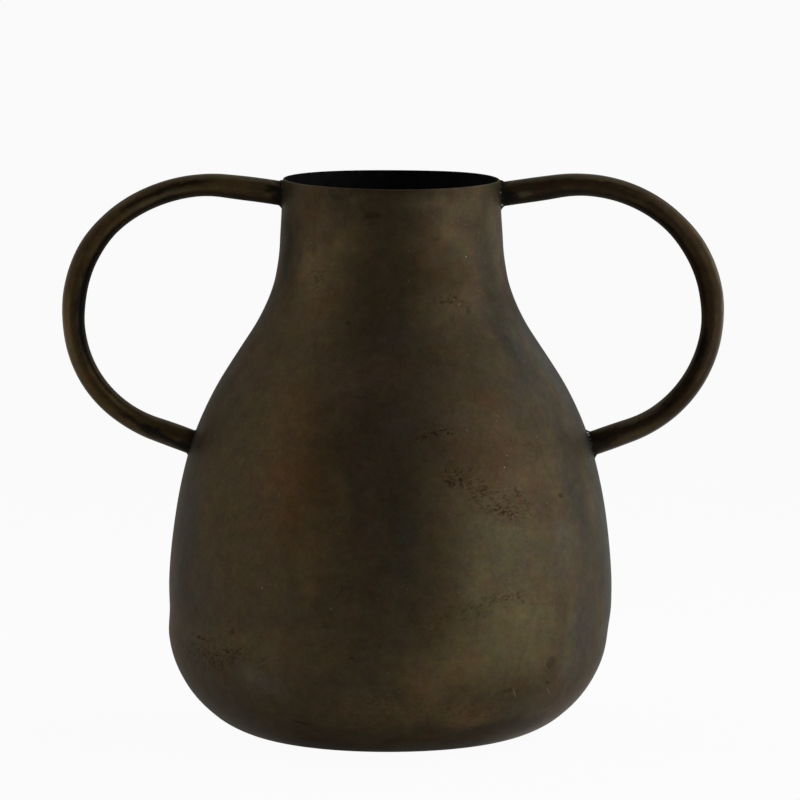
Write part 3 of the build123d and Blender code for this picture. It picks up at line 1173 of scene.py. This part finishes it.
def handle_finish(name, tone, stains):
    """Bent tube: streaked along its length and stained, with a painted highlight on top and painted shade
    below, sooty by the welds.
    """
    finish = Finish(bpy.data.materials.new(name))
    place = finish.kept("tube_place", "Vector")
    drawn = finish.vector("MULTIPLY", place, (0.55, 1, 1))
    frayed = finish.moved(place, finish.noise(drawn, 260, 4, 0.5, "Color"), TUBE_FRAY)
    streaks = finish.noise(finish.vector("MULTIPLY", place, (40, 120, 120)), 1, 5, 0.65)
    mottle = finish.noise(place, 140, 4, 0.85)

    colour = finish.mix(finish.between(streaks, 0.5, 0.66) * 0.25, tone, GOLD)
    colour = finish.mix(finish.between(streaks, 0.36, 0.46, 0.35, 0.0), colour, UMBER)
    for *oval, share, stain in stains:
        reach = finish.tube_oval(frayed, *oval)
        colour = finish.mix(finish.fading(reach, TUBE_STAIN_EDGE, share), colour, stain)
    upper = finish.kept("upper", "Fac")
    # Painted highlight: the tube is made lighter where it faces up, as light from above falls there
    painted_top_light = finish.between(upper, 0.55, 0.9) * finish.between(mottle, 0.35, 0.55, 0.3, 0.8)
    colour = finish.mix(painted_top_light, colour, TOP_LIGHT)
    # Painted highlight: a pale line along the very top of the tube
    colour = finish.mix(finish.between(upper, 0.84, 0.98) * 0.5, colour, BARE_AND_HIGHLIGHT)
    # Painted shade: the tube is darkened where it faces down
    colour = finish.mix(finish.between(upper, -0.75, -0.25, 0.65, 0.0), colour, PIT_AND_SHADE)
    along = finish.part(frayed, "X")
    neck_heat = finish.between(along, 1 * MM, 6 * MM, 1.0, 0.0)
    heat = neck_heat + finish.between(along, ALONG[-1] - 6 * MM, ALONG[-1] - 1 * MM)
    colour = mottled(finish, place, finish.mix(heat * 0.7, colour, SOOT))
    colour = finish.mix(scattered(finish, place, *FINE_DUST) * 0.3, colour, DUST)

    inner = finish.between(finish.part(place, "Z"), -TUBE_RADIUS, -2 * MM, 0.34, 0.0)
    dull = inner * finish.between(along, 140 * MM, 170 * MM, 1.0, 0.0)
    roughness = 0.36 + mottle * 0.1 + heat * 0.15 + dull
    return finish.metal(colour, roughness, mottle + streaks * 0.3, SKIN_RELIEF, TUBE_EDGE_TINT)


def weld_finish():
    """Weld: black scale that turns to the wall's tone at the wall's toe, with flecks that are worn bright."""
    finish = Finish(bpy.data.materials.new("weld_scale"))
    grain = finish.noise(finish.place(), 900, 4, 0.7)
    bright = finish.between(finish.kept("crest", "Fac") + (grain - 0.5) * 1.4, 0.4, 0.9)
    colour = finish.mix(finish.between(finish.kept("wall_toe", "Fac"), 0.3, 0.85), SOOT, SCALE)
    colour = finish.mix(bright, colour, FLECK)
    return finish.metal(colour, 0.5 + grain * 0.2 - bright * 0.1, grain, WELD_RELIEF, EDGE_TINT)


# Stage, light and camera

WHITE = (1, 1, 1, 1)
FLOOR_RADII = (14, 3, 1, 0)
FLOOR_AROUND = 96
FLOOR_COLOUR = (0.9, 0.9, 0.9, 1)
FLOOR_WHITE = 0.95

# How white the room looks in the metal, and how brightly the floor glows there as painted light: on the left
# and right, and on the viewer's side
SIDE_TONES = (0.46, 1.0)
FRONT_TONE = 0.33

# Strength of the room's light on matt things, and what it adds in the metal
ROOM_LIGHT = 0.1
ROOM_MIRRORED = 0.3


def seen_rays(finish):
    """1 for rays that see the background straight, and 1 for those that see it in metal or through glass."""
    straight = finish.node("LightPath", output="Is Camera Ray")
    return straight, straight.other("Is Glossy Ray") + straight.other("Is Transmission Ray")


def room_tone(finish, direction):
    """How white the room is towards a direction: most on the right, less on the left, dim in front. On the
    floor it sets the painted pool of light seen in the metal.
    """
    level = finish.vector("MULTIPLY", direction, (1, 1, 0))
    level = finish.node("VectorMath", {"operation": "NORMALIZE"}, {0: level})
    sides = finish.between(finish.part(level, "X"), -1.0, 1.0, *SIDE_TONES)
    return sides * finish.between(finish.part(level, "Y"), -0.95, -0.3, FRONT_TONE, 1.0)


def floor_finish():
    """Matt pale floor that keeps the shadow and is white to look at straight; in the metal it glows as a
    painted pool of light, brightest on the right and dim in front.
    """
    finish = Finish(bpy.data.materials.new("pale_floor"))
    straight, mirrored = seen_rays(finish)
    matt = finish.node("BsdfDiffuse", None, {"Color": FLOOR_COLOUR})
    white = finish.node("Emission", None, {"Color": WHITE, "Strength": 1.0})
    # Painted light: for rays from the metal the floor glows by the room's tone, brighter to the right and dim
    # in front
    share = straight * FLOOR_WHITE + mirrored * room_tone(finish, finish.place())
    shader = finish.node("MixShader", None, {0: share, 1: matt, 2: white})
    finish.node("OutputMaterial", None, {"Surface": shader})
    return finish.owner


def floor():
    """Flat disc: rings of points about the origin, far out in every direction."""
    turn = np.linspace(0, 2 * pi, FLOOR_AROUND, endpoint=False)[::-1]
    radius = np.array(FLOOR_RADII)[:, None]
    level = np.zeros((len(radius), len(turn)))
    points = np.stack([radius * np.cos(turn), radius * np.sin(turn), level], axis=-1)
    grid_mesh("floor", points, [floor_finish()])


def softbox(name, centre, turn, size, radiance, colour):
    """Soft rectangular lamp, of a depth and a height, that shines along -X and is turned about Z."""
    data = bpy.data.lights.new(name, "AREA")
    data.shape = "RECTANGLE"
    data.size_y, data.size = size
    data.energy = radiance * pi * size[0] * size[1]
    data.color = colour
    lamp = bpy.data.objects.new(name, data)
    lamp.location = centre
    lamp.rotation_euler = (0, pi / 2, radians(turn))
    lamp.visible_camera = False
    bpy.context.scene.collection.objects.link(lamp)


def world_light():
    """Dim room round the vase, white behind it, and white all round where it is looked at directly."""
    finish = Finish(bpy.context.scene.world or bpy.data.worlds.new("room"))
    bpy.context.scene.world = finish.owner
    straight, mirrored = seen_rays(finish)
    tone = room_tone(finish, finish.node("TexCoord", output="Generated"))
    strength = straight + (1 - straight) * (ROOM_LIGHT + mirrored * tone * ROOM_MIRRORED)
    background = finish.node("Background", None, {"Color": WHITE, "Strength": strength})
    finish.node("OutputWorld", None, {"Surface": background})


def camera():
    """Long lens in front of the vase, a little above it, at the photograph's place in a square frame."""
    data = bpy.data.cameras.new("camera")
    data.lens = 346.7
    data.sensor_width = 36
    data.clip_end = 100
    view = bpy.data.objects.new("camera", data)
    view.location = (0.0043, -3.7759, 0.6086)
    view.rotation_euler = (radians(83.3225), 0, 0)
    bpy.context.scene.collection.objects.link(view)
    bpy.context.scene.camera = view


# Vase

camera()
shell = shell_finish()
inside = inside_finish()
weld = weld_finish()
body_shell(shell, inside)
base_dish(shell, inside)
girth_seam(shell, inside)
for hand_name, hand in HANDS.items():
    tube = handle_finish(f"antique_{hand_name}_tube", hand.tone, hand.stains)
    handle(f"{hand_name}_tube", f"{hand_name}_handle", hand, tube)
    for end_name, end in hand.ends.items():
        joint_name = f"{hand_name}_{end_name}"
        handle_weld(f"{joint_name}_bead", f"{joint_name}_weld", hand.side, JOINTS[end_name], end, weld)
floor()
softbox(
    "right_softbox", (0.62, -0.1, 0.42), turn=0, size=(1.4, 0.82), radiance=1.35, colour=(0.985, 1.0, 1.015)
)
softbox("left_softbox", (-0.62, 0.1, 0.5), turn=180, size=(1.2, 1.0), radiance=0.58, colour=(1.03, 1.0, 0.95))
world_light()
bpy.context.scene.view_settings.view_transform = "Standard"
